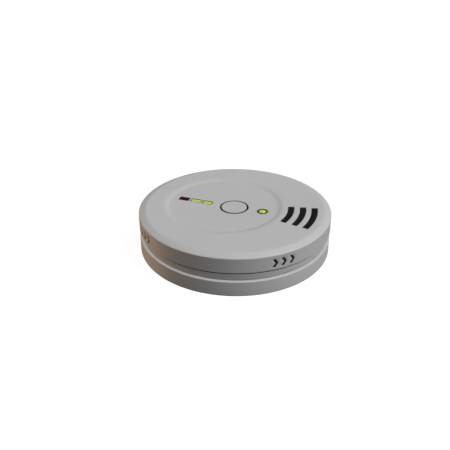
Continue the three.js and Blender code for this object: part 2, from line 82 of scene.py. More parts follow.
COVER_LOW, COVER_HIGH = box_mm("front_cover")
BASE_HIGH = box_mm("mounting_base")[1]
BUTTON_LOW, BUTTON_HIGH = box_mm("test_button")
TOP = COVER_HIGH.z
COVER_RADIUS = COVER_HIGH.x
PILLAR_FOOT = COVER_LOW.z
BASE_RADIUS = BASE_HIGH.x
BASE_TOP = BASE_HIGH.z
GAP = 0.3  # between neighbouring pieces

# ---- Camera ----

CAMERA_AZIMUTH = radians(18.3)
CAMERA_ELEVATION = radians(30.85)
CAMERA_DISTANCE = 404.8
CAMERA_ROLL = radians(0.66)
CAMERA_SHIFT = (-0.0218, 0.0373)  # shares of the sensor's width
SENSOR = 36
FOCAL_LENGTH = 47.6


def make_camera():
    data = bpy.data.cameras.new("camera")
    data.sensor_width = SENSOR
    data.lens = FOCAL_LENGTH
    data.clip_start = 0.01
    data.shift_x, data.shift_y = CAMERA_SHIFT
    camera = bpy.data.objects.new("camera", data)
    bpy.context.scene.collection.objects.link(camera)
    flat = cos(CAMERA_ELEVATION)
    direction = Vector((
        sin(CAMERA_AZIMUTH) * flat, -cos(CAMERA_AZIMUTH) * flat, sin(CAMERA_ELEVATION),
    ))
    turn = direction.to_track_quat("Z", "Y") @ Matrix.Rotation(CAMERA_ROLL, 3, "Z").to_quaternion()
    camera.matrix_world = (
        Matrix.Translation(direction * CAMERA_DISTANCE * MM) @ turn.to_matrix().to_4x4()
    )
    bpy.context.scene.camera = camera


make_camera()

# ---- Outlines: lists of (point, outward normal), so that one outline gives all its offsets ----


def polar(radius, angle, centre=(0, 0)):
    return Vector((centre[0] + radius * cos(angle), centre[1] + radius * sin(angle)))


def arc(centre, radius, start, end, steps):
    """An arc seen from inside the outline: its normals point away from its centre."""
    samples = []
    for i in range(steps + 1):
        angle = start + (end - start) * i / steps
        samples.append((polar(radius, angle, centre), polar(1, angle)))
    return samples


def circle(radius, segments, centre=(0, 0)):
    return arc(centre, radius, 0, tau, segments)[:-1]


def rounded_polygon(corners, radius, side=0.7, steps=5):
    """An anticlockwise polygon with every corner rounded, and samples along its sides."""
    outline = []
    count = len(corners)
    for i, corner in enumerate(corners):
        v = Vector(corner)
        back = (Vector(corners[i - 1]) - v).normalized()
        ahead = (Vector(corners[(i + 1) % count]) - v).normalized()
        half = back.angle(ahead) / 2
        outward = 1 if back.cross(ahead) < 0 else -1
        centre = v + (back + ahead).normalized() * radius / sin(half)
        first = v + back * radius / tan(half) - centre
        last = v + ahead * radius / tan(half) - centre
        if outline:
            outline += along(outline[-1], centre + first, side)
        for k in range(steps + 1):
            ray = first.slerp(last, k / steps).normalized()
            outline.append((centre + ray * radius, ray * outward))
    return outline + along(outline[-1], outline[0][0], side)


def along(sample, end, side):
    """Samples strictly between one sample and the end of its straight side."""
    start, normal = sample
    steps = max(1, round((end - start).length / side))
    return [(start.lerp(end, i / steps), normal) for i in range(1, steps)]


def rounded_box(half_x, half_y, corner, side=0.7):
    corners = [(half_x, half_y), (-half_x, half_y), (-half_x, -half_y), (half_x, -half_y)]
    return rounded_polygon(corners, corner, side)


def arc_slot(inner, outer, half_angle, corner, steps=40, corner_steps=6):
    """A piece of ring about the origin, centred on +X, with rounded corners."""
    tilt_out = half_angle - asin(corner / (outer - corner))
    tilt_in = half_angle - asin(corner / (inner + corner))
    far = polar(outer - corner, tilt_out)
    near = polar(inner + corner, tilt_in)
    side = half_angle + pi / 2
    outline = arc((0, 0), outer, -tilt_out, tilt_out, steps)
    outline += arc(far, corner, tilt_out, side, corner_steps)[1:]
    outline += arc(near, corner, side, pi + tilt_in, corner_steps)
    inside_edge = arc((0, 0), inner, tilt_in, -tilt_in, steps)[1:]
    outline += [(p, -n) for p, n in inside_edge]
    outline += arc((near.x, -near.y), corner, pi - tilt_in, tau - side, corner_steps)[1:]
    outline += arc((far.x, -far.y), corner, -side, -tilt_out, corner_steps)[:-1]
    return outline


def keyhole(radius, half_width, run):
    """A round hole with a slot that runs along +Y."""
    mouth = asin(half_width / radius)
    outline = arc((0, 0), radius, pi / 2 + mouth, 5 * pi / 2 - mouth, 40)
    outline += arc((0, run), half_width, 0, pi, 16)
    return outline


def moved(outline, x=0, y=0, turn=0):
    spin = Matrix.Rotation(turn, 2)
    return [(spin @ p + Vector((x, y)), spin @ n) for p, n in outline]


def offset(outline, distance):
    return [p + n * distance for p, n in outline]


def loop_of(outline):
    """The outline's points, without their normals."""
    return [p for p, _ in outline]


def round_loop(radius, segments=ROUND, centre=(0, 0)):
    return loop_of(circle(radius, segments, centre))


def inside(loop, points):
    """Which of the points, an array of x and y, a closed loop goes round."""
    x, y = points.T
    found = np.zeros(len(points), bool)
    for a, b in zip(loop, loop[1:] + loop[:1]):
        if a.y != b.y:
            found ^= ((a.y > y) != (b.y > y)) & (x < a.x + (y - a.y) * (b.x - a.x) / (b.y - a.y))
    return found


# ---- Meshes ----

WELD = 0.002  # points closer than this become one
SHARP = radians(35)  # a bend beyond this is shaded as an edge


def quarter(steps):
    """Angles from 0 to a right angle."""
    return [pi / 2 * i / steps for i in range(steps + 1)]


def lip_levels(lip, steps=4):
    """(offset, drop) from a flat face, over the rounded edge of an opening, to its wall."""
    return [(lip * (1 - sin(a)), lip * (1 - cos(a))) for a in quarter(steps)]


def top_edge(z, lip):
    """Levels of a wall that ends in a rounded edge round a flat top."""
    return [(-d, z - drop) for d, drop in reversed(lip_levels(lip))]


def level(z):
    return lambda p: (p.x, p.y, z)


class Patchwork:
    """A mesh gathered from patches in millimetres and welded at the end."""

    def __init__(self):
        self.vertices = []
        self.faces = []

    def add(self, points):
        start = len(self.vertices)
        self.vertices += [tuple(p) for p in points]
        return list(range(start, len(self.vertices)))

    def rows(self, rows):
        """Quads between closed rows of as many points."""
        made = [self.add(row) for row in rows]
        count = len(made[0])
        for first, second in zip(made, made[1:]):
            for i in range(count):
                j = (i + 1) % count
                self.faces.append((first[i], first[j], second[j], second[i]))

    def revolve(self, profile, segments, centre=(0, 0)):
        """Turns a profile of (radius, z) about Z; radius 0 becomes a pole."""
        rows = []
        for radius, z in profile:
            rows.append([(p.x, p.y, z) for p in round_loop(radius, segments, centre)])
        self.rows(rows)

    def walls(self, outline, levels):
        """Rows of an outline at (offset, z) levels."""
        self.rows([[(p.x, p.y, z) for p in offset(outline, d)] for d, z in levels])

    def hole(self, outline, bottom, top, lip):
        """The wall of a hole through a plate, its two edges rounded."""
        levels = [(d, top - drop) for d, drop in lip_levels(lip)]
        levels += [(d, bottom + drop) for d, drop in reversed(lip_levels(lip))]
        self.walls(outline, levels)

    def sheet(self, outer, holes, place, points=(), creases=()):
        """Fills a flat loop, leaving the holes open; place(point) gives each point its 3D place."""
        loops = [outer, *holes, *creases]
        edges = []
        start = 0
        for loop in loops:
            count = len(loop)
            edges += [(start + i, start + (i + 1) % count) for i in range(count)]
            start += count
        flat = [p for loop in loops for p in loop] + list(points)
        found, _, triangles = delaunay_2d_cdt(flat, edges, [], 0, 1e-6)[:3]
        corners = np.array([tuple(p) for p in found])
        centres = corners[np.array(triangles)].mean(axis=1)
        kept = inside(outer, centres)
        for hole in holes:
            kept &= ~inside(hole, centres)
        places = self.add([place(p) for p in found])
        self.faces += [tuple(places[i] for i in t) for t, keep in zip(triangles, kept) if keep]

    def prism(self, outline, bottom, top, lip=0.15):
        """A closed block on an outline, with its top and bottom edges rounded."""
        levels = [(-d, bottom + drop) for d, drop in lip_levels(lip)]
        self.walls(outline, levels + top_edge(top, lip))
        cap = offset(outline, -lip)
        self.sheet(cap, [], level(bottom))
        self.sheet(cap, [], level(top))

    def bmesh(self):
        """The welded mesh in metres, with its faces turned outwards."""
        made = bmesh.new()
        vertices = [made.verts.new(Vector(v) * MM) for v in self.vertices]
        for face in self.faces:
            made.faces.new([vertices[i] for i in face])
        bmesh.ops.remove_doubles(made, verts=made.verts, dist=WELD * MM)
        loose = [v for v in made.verts if not v.link_faces]
        bmesh.ops.delete(made, geom=loose, context="VERTS")
        bmesh.ops.recalc_face_normals(made, faces=made.faces)
        return made


def fillet(points, radii, steps=5):
    """A profile of (radius, z), the corners between its two ends each rounded by its own size."""
    rounded = [points[0]]
    for before, corner, after, size in zip(points, points[1:], points[2:], radii):
        a, b, c = Vector(before), Vector(corner), Vector(after)
        start, end = (a - b).normalized(), (c - b).normalized()
        for i in range(steps + 1):
            t = i / steps
            p = b + start * size * (1 - t) ** 2 + end * size * t ** 2
            rounded.append((p.x, p.y))
    return rounded + [points[-1]]


def piece(name, patchwork, body, slot, replaced=None, look=None):
    """Makes the object, puts it on its body and hides the CAD node, if any, that it stands for.

    It looks as its slot does, unless another look is named.
    """
    made = patchwork.bmesh()
    mesh = bpy.data.meshes.new(name)
    made.to_mesh(mesh)
    made.free()
    mesh.shade_smooth()
    mesh.set_sharp_from_angle(angle=SHARP)
    mesh.materials.append(LOOKS[look or slot])
    obj = bpy.data.objects.new(name, mesh)
    bpy.context.scene.collection.objects.link(obj)
    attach(obj, body)
    if replaced:
        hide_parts(replaced)


# ---- Materials ----


class Nodes:
    """Adds nodes to one new material or world and links them."""

    def __init__(self, name, kind="materials", shader="Principled BSDF", space="Object"):
        self.owner = getattr(bpy.data, kind).new(name)
        self.owner.use_nodes = True
        self.tree = self.owner.node_tree
        self.shader = self.tree.nodes[shader]
        self.coordinates = self.add("ShaderNodeTexCoord").outputs[space]

    def add(self, kind, **settings):
        node = self.tree.nodes.new(kind)
        for name, value in settings.items():
            setattr(node, name, value)
        return node

    def link(self, source, target):
        self.tree.links.new(source, target)

    def noise(self, scale, detail=2.0, roughness=0.5, stretch=(1, 1, 1)):
        """Noise over the object's own coordinates; scale is in features per metre."""
        mapping = self.add("ShaderNodeMapping")
        mapping.inputs["Scale"].default_value = stretch
        self.link(self.coordinates, mapping.inputs["Vector"])
        node = self.add("ShaderNodeTexNoise")
        node.inputs["Scale"].default_value = scale
        node.inputs["Detail"].default_value = detail
        node.inputs["Roughness"].default_value = roughness
        self.link(mapping.outputs["Vector"], node.inputs["Vector"])
        return node.outputs["Fac"]

    def bands(self, scale, direction):
        """A wave across the object's own coordinates."""
        node = self.add("ShaderNodeTexWave", wave_type="BANDS", bands_direction=direction)
        node.inputs["Scale"].default_value = scale
        self.link(self.coordinates, node.inputs["Vector"])
        return node.outputs["Fac"]

    def spread(self, value, low, high, start=0.3, end=0.7):
        """Maps a value's start..end to low..high."""
        node = self.add("ShaderNodeMapRange")
        node.inputs["From Min"].default_value = start
        node.inputs["From Max"].default_value = end
        node.inputs["To Min"].default_value = low
        node.inputs["To Max"].default_value = high
        self.link(value, node.inputs["Value"])
        return node.outputs["Result"]

    def maths(self, operation, first, second):
        node = self.add("ShaderNodeMath", operation=operation)
        for socket, value in zip(node.inputs, (first, second)):
            if isinstance(value, (int, float)):
                socket.default_value = value
            else:
                self.link(value, socket)
        return node.outputs["Value"]

    def mix(self, amount, first, second):
        """Mixes two colours, each a tuple or an output."""
        node = self.add("ShaderNodeMix", data_type="RGBA")
        self.link(amount, node.inputs["Factor"])
        for name, value in (("A", first), ("B", second)):
            socket = [s for s in node.inputs if s.name == name and s.type == "RGBA"][0]
            if isinstance(value, tuple):
                socket.default_value = (*value, 1)
            else:
                self.link(value, socket)
        return [s for s in node.outputs if s.type == "RGBA"][0]

    def crevices(self, distance, low=0.5, high=0.95):
        """1 deep in a corner or gap, 0 on open faces."""
        node = self.add("ShaderNodeAmbientOcclusion", samples=8, only_local=False)
        node.inputs["Distance"].default_value = distance * MM
        return self.spread(node.outputs["AO"], 1, 0, low, high)

    def edges(self, radius):
        """1 on a worn outer edge, 0 on faces."""
        bevel = self.add("ShaderNodeBevel", samples=4)
        bevel.inputs["Radius"].default_value = radius * MM
        plain = self.add("ShaderNodeNewGeometry")
        dot = self.add("ShaderNodeVectorMath", operation="DOT_PRODUCT")
        self.link(bevel.outputs["Normal"], dot.inputs[0])
        self.link(plain.outputs["Normal"], dot.inputs[1])
        return self.spread(dot.outputs["Value"], 1, 0, 0.93, 0.998)

    def bump(self, height, depth, strength=1.0):
        """Relief of a depth in millimetres."""
        node = self.add("ShaderNodeBump")
        node.inputs["Distance"].default_value = depth * MM
        node.inputs["Strength"].default_value = strength
        self.link(height, node.inputs["Height"])
        self.link(node.outputs["Normal"], self.shader.inputs["Normal"])

    def done(self, colour, roughness, metallic=0.0, specular=0.5):
        self.link(colour, self.shader.inputs["Base Color"])
        self.link(roughness, self.shader.inputs["Roughness"])
        self.shader.inputs["Metallic"].default_value = metallic
        self.shader.inputs["Specular IOR Level"].default_value = specular
        return self.owner


def scaled(colour, factor):
    return tuple(min(1, c * factor) for c in colour)


def moulded_plastic(name, colour, roughness=0.5, grain=0.02, gap_shade_and_dirt=0.12):
    """Spark-textured moulding: faint mottling, gaps darkened with painted shade and dirt, polished outer
    edges.
    """
    n = Nodes(name)
    mottle = n.mix(n.spread(n.noise(28, 4), 0, 1), scaled(colour, 0.975), scaled(colour, 1.02))
    speckle = n.mix(n.spread(n.noise(900, 2), 0, 0.5), mottle, scaled(colour, 0.96))
    worn = n.mix(n.maths("MULTIPLY", n.edges(0.5), 0.35), speckle, scaled(colour, 1.12))
    # Gaps and corners darken towards near-black by the given amount: painted shade and dirt in the gaps.
    gap_shade_and_dirt_mask = n.maths("MULTIPLY", n.crevices(2, 0.4, 0.88), gap_shade_and_dirt)
    gap_shaded_and_soiled = n.mix(gap_shade_and_dirt_mask, worn, scaled(colour, 0.06))
    smears = n.spread(n.noise(60, 3, 0.6, (1, 2.2, 1)), roughness - 0.05, roughness + 0.07)
    polished = n.maths("SUBTRACT", smears, n.maths("MULTIPLY", n.edges(0.5), 0.1))
    n.bump(n.noise(2600, 2, 0.6), grain)
    return n.done(gap_shaded_and_soiled, polished, specular=0.35)


def lens_plastic(name, colour, edge, glow=0.0, specular=0.5):
    """Tinted diffusing plastic with fine moulded ribs inside; painted shade darkens it towards the edge
    colour in its gaps and corners, so it is brighter in the middle.
    """
    n = Nodes(name)
    wave = n.bands(420, "X")
    ribs = n.mix(n.spread(wave, 0, 0.35, 0.2, 0.8), colour, scaled(colour, 0.8))
    cloudy = n.mix(n.spread(n.noise(450, 2), 0, 0.3), ribs, scaled(colour, 1.2))
    # Painted shade: gaps and corners darken towards the edge colour.
    shaded = n.mix(n.crevices(1.1, 0.35, 0.9), cloudy, edge)
    n.bump(wave, 0.02, 0.4)
    n.shader.inputs["Coat Weight"].default_value = specular / 2
    n.shader.inputs["Coat Roughness"].default_value = 0.2
    if glow:
        n.link(shaded, n.shader.inputs["Emission Color"])
        n.shader.inputs["Emission Strength"].default_value = glow
    return n.done(shaded, n.spread(n.noise(700, 2), 0.22, 0.36), specular=specular)


def matt_black(name, level=0.005, roughness=0.65):
    """Fine-grained black plastic, greyer on its worn edges."""
    n = Nodes(name)
    dark, pale = (level,) * 3, (level * 1.9, level * 1.85, level * 1.8)
    colour = n.mix(n.spread(n.noise(120, 4), 0, 1), dark, pale)
    worn = n.mix(n.maths("MULTIPLY", n.edges(0.25), 0.5), colour, (level * 5,) * 3)
    n.bump(n.noise(1800, 3, 0.6), 0.02)
    return n.done(worn, n.spread(n.noise(200, 3), roughness - 0.08, roughness + 0.1), specular=0.12)


def printed_ink(name):
    """Pad-printed ink: thin in places, so the grain of the plastic shows."""
    n = Nodes(name)
    colour = n.mix(n.spread(n.noise(1500, 3), 0, 1), (0.006, 0.006, 0.006), (0.016, 0.015, 0.014))
    n.bump(n.noise(2600, 2), 0.012)
    return n.done(colour, n.spread(n.noise(400, 2), 0.5, 0.65), specular=0.2)


def metal(name, colour, roughness=0.3, brush=(1, 1, 14), tarnish=(0.25, 0.22, 0.18)):
    """Plated or drawn metal with fine brushing, dull spots and dark corners."""
    n = Nodes(name)
    lines = n.noise(260, 3, 0.6, brush)
    streaks = n.mix(n.spread(lines, 0, 1), scaled(colour, 0.86), scaled(colour, 1.06))
    spots = n.mix(n.spread(n.noise(90, 4), 0, 0.4, 0.55, 0.8), streaks, tarnish)
    dull = n.mix(n.maths("MULTIPLY", n.crevices(1.5), 0.5), spots, scaled(tarnish, 0.5))
    n.bump(lines, 0.008)
    return n.done(dull, n.spread(lines, roughness - 0.07, roughness + 0.12), 1.0)


def sleeve(name, colour, roughness=0.4, band=None):
    """Shrunk film or soft insulation: a faint orange peel, and a paler band if asked."""
    n = Nodes(name)
    base = n.mix(n.spread(n.noise(70, 3), 0, 1), scaled(colour, 0.88), scaled(colour, 1.1))
    worn = n.mix(n.maths("MULTIPLY", n.edges(0.3), 0.4), base, scaled(colour, 1.8))
    if band:
        stripe = n.spread(n.bands(18, band), 0, 0.5, 0.9, 0.93)
        worn = n.mix(stripe, worn, scaled(colour, 2.4))
    n.bump(n.noise(600, 2), 0.02)
    return n.done(worn, n.spread(n.noise(300, 2), roughness - 0.06, roughness + 0.1))


def foam(name, colour):
    """Closed-cell foam: open pores on its cut faces, darkened in their dents and lightened on their rims as
    painted shade and light.
    """
    n = Nodes(name)
    cells = n.add("ShaderNodeTexVoronoi")
    cells.inputs["Scale"].default_value = 1600
    n.link(n.coordinates, cells.inputs["Vector"])
    pore_shade_mask = n.spread(cells.outputs["Distance"], 1, 0, 0.1, 0.6)
    n.bump(cells.outputs["Distance"], 0.12)
    # Painted shade in the pores' dents, painted light on their rims.
    shade = n.mix(pore_shade_mask, scaled(colour, 1.6), scaled(colour, 0.5))
    return n.done(shade, n.spread(n.noise(500, 2), 0.85, 0.98), specular=0.2)


def solder_mask(name):
    """A circuit board: green mask over a faint net of copper tracks."""
    n = Nodes(name)
    tracks = n.add("ShaderNodeTexBrick", offset=0.37, squash=1.6, squash_frequency=3)
    tracks.inputs["Scale"].default_value = 160
    tracks.inputs["Mortar Size"].default_value = 0.06
    tracks.inputs["Color1"].default_value = (0.012, 0.085, 0.035, 1)
    tracks.inputs["Color2"].default_value = (0.016, 0.10, 0.042, 1)
    tracks.inputs["Mortar"].default_value = (0.03, 0.17, 0.07, 1)
    n.link(n.coordinates, tracks.inputs["Vector"])
    fibres = n.spread(n.noise(500, 2, 0.5, (1, 6, 1)), 0, 0.3)
    weave = n.mix(fibres, tracks.outputs["Color"], (0.02, 0.09, 0.04))
    dusty = n.mix(n.maths("MULTIPLY", n.crevices(1.5), 0.4), weave, (0.05, 0.06, 0.04))
    n.bump(tracks.outputs["Fac"], 0.03, 0.6)
    return n.done(dusty, n.spread(n.noise(300, 2), 0.28, 0.42))


SHELL = (0.455, 0.456, 0.458)  # off-white, of the cover, housing, base and button
RECIPES = {  # each material's maker and what it is given after the name
    # For the cover and the button, the last value darkens their gaps almost to black: painted shade.
    "cover_plastic": (moulded_plastic, SHELL, 0.5, 0.02, 0.95),
    "shell_plastic": (moulded_plastic, SHELL),
    "base_plastic": (moulded_plastic, SHELL),
    "button_plastic": (moulded_plastic, SHELL, 0.45, 0.012, 0.95),
    "black_plastic": (matt_black,),
    "black_epoxy": (matt_black, 0.014, 0.5),
    # The second colour of each lens is the painted shade in its gaps and corners.
    "green_lens": (lens_plastic, (0.46, 0.55, 0.09), (0.08, 0.10, 0.015), 0.06),
    "red_lens": (lens_plastic, (0.04, 0.001, 0.002), (0.004, 0.001, 0.001), 0.0, 0.08),
    "status_light": (lens_plastic, (0.46, 0.56, 0.09), (0.10, 0.13, 0.02), 0.08),
    "olive_bezel": (moulded_plastic, (0.07, 0.088, 0.018), 0.4, 0.01),
    "led_package": (moulded_plastic, (0.72, 0.72, 0.62), 0.35, 0.01),
    "board_laminate": (solder_mask,),
    "capacitor_sleeve": (sleeve, (0.012, 0.02, 0.06), 0.35, "Z"),
    "cell_jacket": (sleeve, (0.03, 0.10, 0.24), 0.3, "Y"),
    "sensor_can": (metal, (0.62, 0.63, 0.64), 0.34),
    "spring_steel": (metal, (0.60, 0.61, 0.62), 0.25),
    "contact_steel": (metal, (0.66, 0.65, 0.63), 0.28, (14, 1, 1)),
    "screw_steel": (metal, (0.55, 0.56, 0.57), 0.33),
    "brass": (metal, (0.62, 0.43, 0.16), 0.3, (8, 1, 1), (0.20, 0.12, 0.05)),
    "piezo_ceramic": (moulded_plastic, (0.66, 0.63, 0.55), 0.5, 0.01),
    "foam": (foam, (0.02, 0.02, 0.022)),
    "red_sleeve": (sleeve, (0.35, 0.02, 0.02), 0.45),
    "black_sleeve": (sleeve, (0.015, 0.015, 0.016), 0.45),
    "arrow_ink": (printed_ink,),
}
LOOKS = {name: make(name, *values) for name, (make, *values) in RECIPES.items()}

# ---- Front cover ----

SHOULDER_START = 57.6  # radius where the flat top ends
CHAMFER_START = 58.5  # radius
CHAMFER_END = 26  # height
CEILING = 25.4
CEILING_EDGE = 23.8  # height where the inside of the wall turns in to the ceiling
DISH_X = -8
DISH_FLOOR = 35.1  # radius of the floor's edge
DISH_RIM = 39.7  # radius of the rim
DISH_STEP = 0.95  # from the rim down to the floor's edge
DISH_DEPTH = 1.15  # at the middle
BACKING_RADIUS = 36
BACKING_BOTTOM = 24.2
BUTTON_HOLE = 9.45  # radius
STATUS_HOLE = 3.7  # radius
WINDOW_LENGTH = 7.2
WINDOW_WIDTH = 4.8
WINDOW_CORNER = 0.35
SLOTS = [(34.6, radians(17.6)), (42.3, radians(16.7)), (49.8, radians(15.9))]  # inner radius, half angle
SLOT_WIDTH = 4.1
SUPPORT = 0.25  # from a rounded edge to the loop that keeps its shading tight
DISH_RINGS = (1.9, 1.95)  # first radius and pitch of the rings of free points on the dish's floor
DISH_SPACING = 2  # along those rings
SLOPE_RINGS = 14  # on the dish's soft rim
SLOPE_SPACING = 1.3
FLAT_START = 33  # first radius of the rings on the flat top
FLAT_SPACING = 2.2
FLAT_MARGIN = 0.9  # from the dish's rim to the nearest of them
CLEARANCE = 0.55  # of the free points from the edge loops
PILLAR_RADIUS = 3.6
SCREW_BORE = 1.75  # radius, in the pillars and in the bosses below them
SCREW_END = 21  # height where a pillar's blind bore ends
WINDOWS = ("power", "fault", "alarm")
STATUS_X = middle("status_led").x
BUTTON_X = middle("test_button").x
WINDOW_X = {name: middle("lens_" + name).x for name in WINDOWS}
PILLAR_PLACES = [middle(f"housing_screw_{i}").xy for i in range(1, 5)]


def smoothstep(t):
    t = min(1, max(0, t))
    return t * t * (3 - 2 * t)


def top_z(p):
    """Height of the cover's top at a point: a shallow bowl with a soft rim."""
    distance = hypot(p.x - DISH_X, p.y)
    if distance < DISH_FLOOR:
        return TOP - DISH_DEPTH + (DISH_DEPTH - DISH_STEP) * (distance / DISH_FLOOR) ** 2
    climb = smoothstep((distance - DISH_FLOOR) / (DISH_RIM - DISH_FLOOR))
    return TOP - DISH_STEP * (1 - climb)


def on_top(p):
    return (p.x, p.y, top_z(p))


def window_outline(name):
    return moved(rounded_box(WINDOW_LENGTH / 2, WINDOW_WIDTH / 2, WINDOW_CORNER), WINDOW_X[name])


def slot_outline(inner, half_angle, grow=0.0, corner=0.6):
    return arc_slot(inner - grow, inner + SLOT_WIDTH + grow, half_angle + grow / inner, corner)


def top_openings():
    """(outline, size of the rounded edge, height of the foot of the wall) of each opening."""
    openings = [(circle(BUTTON_HOLE, COIN, (BUTTON_X, 0)), 0.25, BACKING_BOTTOM)]
    openings.append((circle(STATUS_HOLE, SMALL, (STATUS_X, 0)), 0.15, BACKING_BOTTOM))
    openings += [(window_outline(name), 0.12, BACKING_BOTTOM) for name in WINDOWS]
    openings += [(slot_outline(*slot), 0.2, CEILING) for slot in SLOTS]
    return openings


def ring_points(centre_x, radius, spacing):
    return round_loop(radius, max(8, round(tau * radius / spacing)), (centre_x, 0))


def top_points(openings):
    """Free points that let the top follow the dish, clear of every opening."""
    found = [Vector((DISH_X, 0))]
    first, pitch = DISH_RINGS
    for radius in np.arange(first, DISH_FLOOR, pitch):
        found += ring_points(DISH_X, radius, DISH_SPACING)
    for radius in np.linspace(DISH_FLOOR, DISH_RIM, SLOPE_RINGS):
        found += ring_points(DISH_X, radius, SLOPE_SPACING)
    for radius in np.arange(FLAT_START, SHOULDER_START - 1, FLAT_SPACING):
        flat = ring_points(0, radius, FLAT_SPACING)
        found += [p for p in flat if hypot(p.x - DISH_X, p.y) > DISH_RIM + FLAT_MARGIN]
    loops = [p for outline, lip, _ in openings for p in offset(outline, lip + SUPPORT)]
    near = KDTree(len(loops))
    for i, p in enumerate(loops):
        near.insert((p.x, p.y, 0), i)
    near.balance()
    clear = [p for p in found if near.find((p.x, p.y, 0))[2] > CLEARANCE]
    flat = np.array([tuple(p) for p in clear])
    covered = np.zeros(len(clear), bool)
    for outline, lip, _ in openings:
        covered |= inside(offset(outline, lip), flat)
    return [p for p, hidden in zip(clear, covered) if not hidden]


def cover_top(made):
    """The top's face and the walls of its openings."""
    openings = top_openings()
    holes = [offset(outline, lip) for outline, lip, _ in openings]
    creases = [offset(outline, lip + SUPPORT) for outline, lip, _ in openings]
    creases.append(round_loop(SHOULDER_START - 0.5))
    rim = round_loop(SHOULDER_START)
    made.sheet(rim, holes, on_top, top_points(openings), creases)
    for outline, lip, foot in openings:
        rows = []
        for distance, drop in lip_levels(lip):
            rows.append([(p.x, p.y, top_z(p) - drop) for p in offset(outline, distance)])
        rows.append([(p.x, p.y, foot) for p, _ in outline])
        made.rows(rows)


def cover_underside(made):
    """The ceiling, the thicker backing under the dish, and the screw pillars."""
    backing = circle(BACKING_RADIUS, COIN, (DISH_X, 0))
    through = [(loop_of(outline), foot) for outline, _, foot in top_openings()]
    in_ceiling = [hole for hole, foot in through if foot == CEILING]
    in_backing = [hole for hole, foot in through if foot != CEILING]
    pillars = [round_loop(PILLAR_RADIUS, SMALL, place) for place in PILLAR_PLACES]
    rim = round_loop(SHOULDER_START)
    made.sheet(rim, [loop_of(backing), *in_ceiling, *pillars], level(CEILING))
    made.sheet(loop_of(backing), in_backing, level(BACKING_BOTTOM))
    made.walls(backing, [(0, CEILING), (0, BACKING_BOTTOM)])
    for place in PILLAR_PLACES:
        made.revolve(PILLAR_PROFILE, SMALL, place)


# A screw pillar with a blind bore up its middle
PILLAR_PROFILE = [
    (PILLAR_RADIUS, CEILING), (PILLAR_RADIUS, PILLAR_FOOT + 0.3), (PILLAR_RADIUS - 0.3, PILLAR_FOOT),
    (SCREW_BORE + 0.25, PILLAR_FOOT), (SCREW_BORE, PILLAR_FOOT + 0.25),
    (SCREW_BORE, SCREW_END), (0, SCREW_END),
]

COVER_BOTTOM = 16.1
COVER_BORE = 60.65
BAND_LOW = 16.9  # the upright part of the cover's wall, which carries the arrows
BAND_HIGH = 25
QUARTERS = 4
ARROWS_IN_GROUP = 3
ARROW_MIDDLE = radians(45.75)  # of a group, from the start of its quarter
ARROW_PITCH = radians(5.2)
ARROW_HEIGHT = 5.4
ARROW_WIDTH = 3.5
ARROW_STROKE = 1.75
ARROW_Z = 20.7
ARROW_DEPTH = 0.35
ARROW_LIP = 0.07
INK_SUNK = 0.07  # from the wall's face down to the ink
INK_GAP = 0.02  # between the ink and the recess


def cover_rim(made):
    """The rounded shoulder, the foot of the wall and the inside of the wall."""
    shoulder = [
        (SHOULDER_START, TOP), (CHAMFER_START, TOP), (COVER_RADIUS, CHAMFER_END), (COVER_RADIUS, BAND_HIGH),
    ]
    made.revolve(fillet(shoulder, [0.9, 0.5], 7), ROUND)
    foot = [
        (COVER_RADIUS, BAND_LOW), (COVER_RADIUS, COVER_BOTTOM), (COVER_BORE, COVER_BOTTOM),
        (COVER_BORE, CEILING_EDGE), (SHOULDER_START, CEILING),
    ]
    made.revolve(fillet(foot, [0.35, 0.2, 0.8]), ROUND)


def arrow_outline(angle):
    """An arrow head on the unrolled wall, pointing anticlockwise; x is arc length."""
    tip, half = ARROW_WIDTH / 2, ARROW_HEIGHT / 2
    end = 0.5  # height of the upright cut at each end of the stroke
    corners = [
        (-tip, half), (-tip, half - end), (tip - ARROW_STROKE, 0), (-tip, end - half),
        (-tip, -half), (ARROW_STROKE - tip, -half), (tip, 0), (ARROW_STROKE - tip, half),
    ]
    rounded = rounded_polygon(corners, radius=0.13, side=0.5, steps=3)
    return moved(rounded, angle * COVER_RADIUS, ARROW_Z)


def arrow_angles():
    first = (1 - ARROWS_IN_GROUP) / 2
    return [ARROW_MIDDLE + (first + i) * ARROW_PITCH for i in range(ARROWS_IN_GROUP)]


def wrapped(radius, turn):
    """Wraps the unrolled wall back round the cover."""
    def place(p):
        around = polar(radius, p.x / COVER_RADIUS + turn)
        return (around.x, around.y, p.y)
    return place


def band_loop():
    """The border of one unrolled quarter of the wall, with a point at each segment."""
    steps = ROUND // QUARTERS
    width = COVER_RADIUS * pi / 2
    columns = [width * i / steps for i in range(steps + 1)]
    rise = 6
    heights = [BAND_LOW + (BAND_HIGH - BAND_LOW) * i / rise for i in range(rise + 1)]
    loop = [Vector((x, BAND_LOW)) for x in columns]
    loop += [Vector((width, z)) for z in heights[1:]]
    loop += [Vector((x, BAND_HIGH)) for x in columns[-2::-1]]
    return loop + [Vector((0, z)) for z in heights[-2:0:-1]], columns, heights


